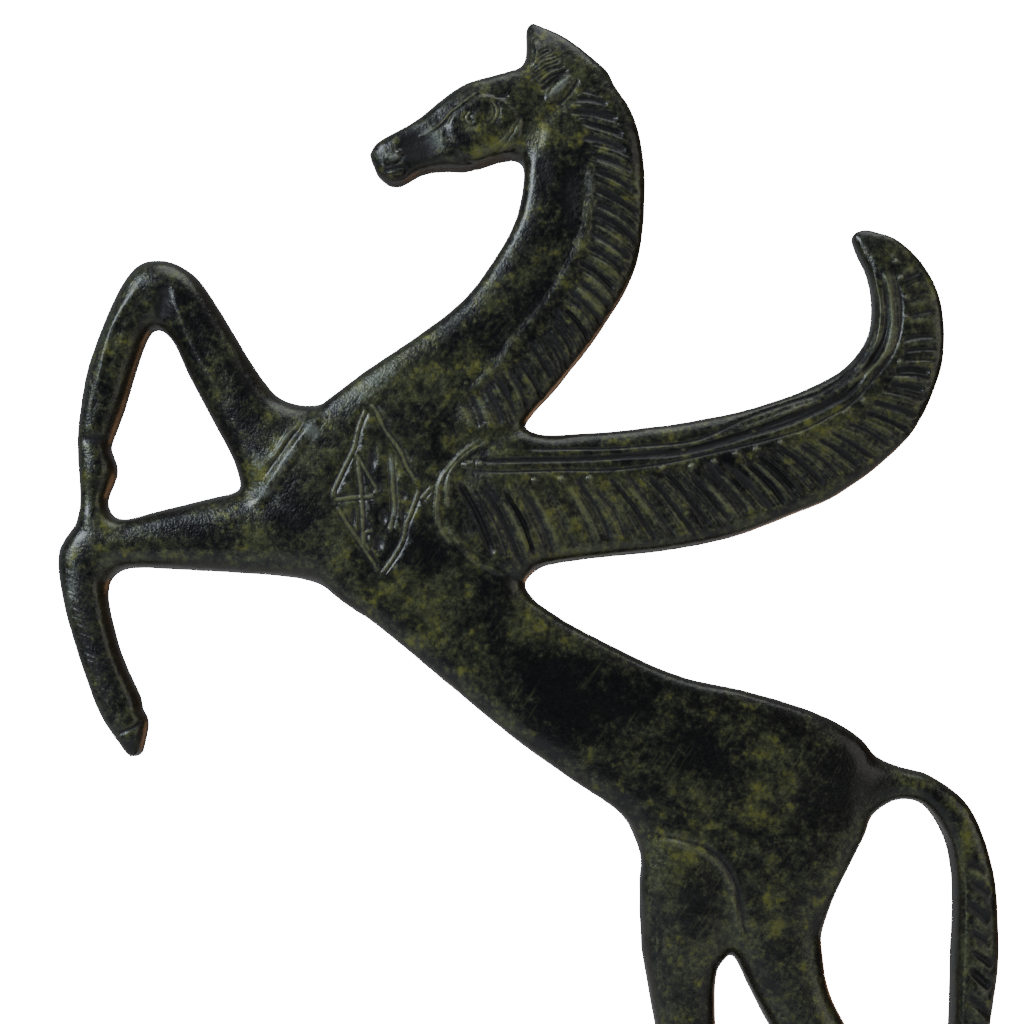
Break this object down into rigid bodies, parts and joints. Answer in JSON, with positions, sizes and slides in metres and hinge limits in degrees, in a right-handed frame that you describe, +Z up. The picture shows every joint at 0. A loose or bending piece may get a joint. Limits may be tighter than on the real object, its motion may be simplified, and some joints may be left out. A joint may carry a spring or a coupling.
{
  "type": "bronze pegasus sculpture",
  "caption": "Flat cast bronze statuette of a rearing winged horse with carved mane, wing feathers and tail, standing on a low rectangular plinth.",
  "frame": {"origin": "middle of the plinth's underside, on the surface that it stands on", "axes": "+Z up, +X towards the tail along the flat figure, -Y out of the pictured face"},
  "size_m": [0.1399, 0.044, 0.2037],
  "materials": {
    "patinated_bronze": "glossy mottled black, olive and yellow-green patina",
    "plinth_bronze": "dark satin patina"
  },
  "bodies": {
    "root": {"pegasus": "patinated_bronze", "plinth": "plinth_bronze"}
  },
  "joints": []
}
